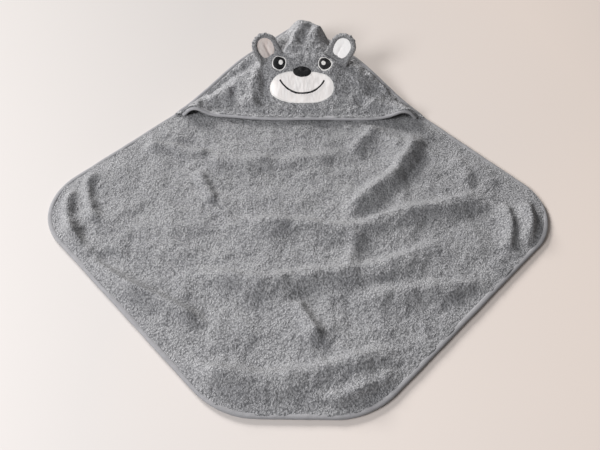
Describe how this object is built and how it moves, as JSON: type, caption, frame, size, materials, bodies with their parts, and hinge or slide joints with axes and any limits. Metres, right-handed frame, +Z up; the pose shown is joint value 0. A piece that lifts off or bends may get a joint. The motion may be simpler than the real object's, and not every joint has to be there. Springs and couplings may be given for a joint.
{
  "type": "hooded baby towel",
  "caption": "Square fleece bath towel with bound edges, a straight foot and an animal-face hood with ears across one corner.",
  "frame": {"origin": "centre of the lying towel's bounding box, on the surface it lies on", "axes": "+X across the towel to the viewer's right, +Y from the foot to the tip of the hood, +Z up"},
  "size_m": [0.9828, 0.9384, 0.1258],
  "materials": {
    "grey_fleece": "long soft coral fleece pile, matt with a faint sheen",
    "grey_tape": "smooth knitted tape, lighter grey than the fleece, rolled over the edge",
    "grey_thread": "sewing thread, a line of lockstitch along the tape",
    "white_applique": "off-white short-pile fabric patch",
    "ear_lining": "off-white to pale pink short-pile fabric",
    "white_thread": "off-white satin-stitch embroidery",
    "black_thread": "black satin-stitch embroidery with a slight gloss"
  },
  "bodies": {
    "towel": {"towel_panel": "grey_fleece", "edge_binding": "grey_tape", "edge_stitching": "grey_thread"},
    "corner": {"hooded_corner": "grey_fleece", "hood_seam_binding": "grey_tape", "hood_seam_stitching": "grey_thread"},
    "hood": {"hood_panel": "grey_fleece", "hood_front_binding": "grey_tape", "hood_front_stitching": "grey_thread", "muzzle_patch": "white_applique", "muzzle_border_stitching": "white_thread", "nose": "black_thread", "mouth": "black_thread", "left_eye_ring": "white_thread", "left_eye": "black_thread", "left_eye_glint": "white_thread", "right_eye_ring": "white_thread", "right_eye": "black_thread", "right_eye_glint": "white_thread"},
    "left_ear": {"left_ear_back": "grey_fleece", "left_ear_front": "grey_fleece", "left_ear_inner_patch": "ear_lining"},
    "right_ear": {"right_ear_back": "grey_fleece", "right_ear_front": "grey_fleece", "right_ear_inner_patch": "ear_lining"}
  },
  "joints": [
    {"name": "neck_fold", "type": "hinge", "parent": "towel", "child": "corner", "pos_m": [0, 0.17621, 0.0059], "axis": [1, 0, 0], "range_deg": [0, 90]},
    {"name": "hood_open", "type": "hinge", "parent": "corner", "child": "hood", "pos_m": [0, 0.45979, 0.0472], "axis": [-1, 0, 0], "range_deg": [0, 12]},
    {"name": "left_ear_flop", "type": "hinge", "parent": "hood", "child": "left_ear", "pos_m": [-0.073, 0.32821, 0.07704], "axis": [0.8308, 0.5191, 0.2007], "range_deg": [-35, 75], "stiffness_Nm_per_rad": 0.05},
    {"name": "right_ear_flop", "type": "hinge", "parent": "hood", "child": "right_ear", "pos_m": [0.081, 0.32821, 0.07481], "axis": [0.8287, -0.5178, -0.2124], "range_deg": [-35, 75], "stiffness_Nm_per_rad": 0.05}
  ]
}
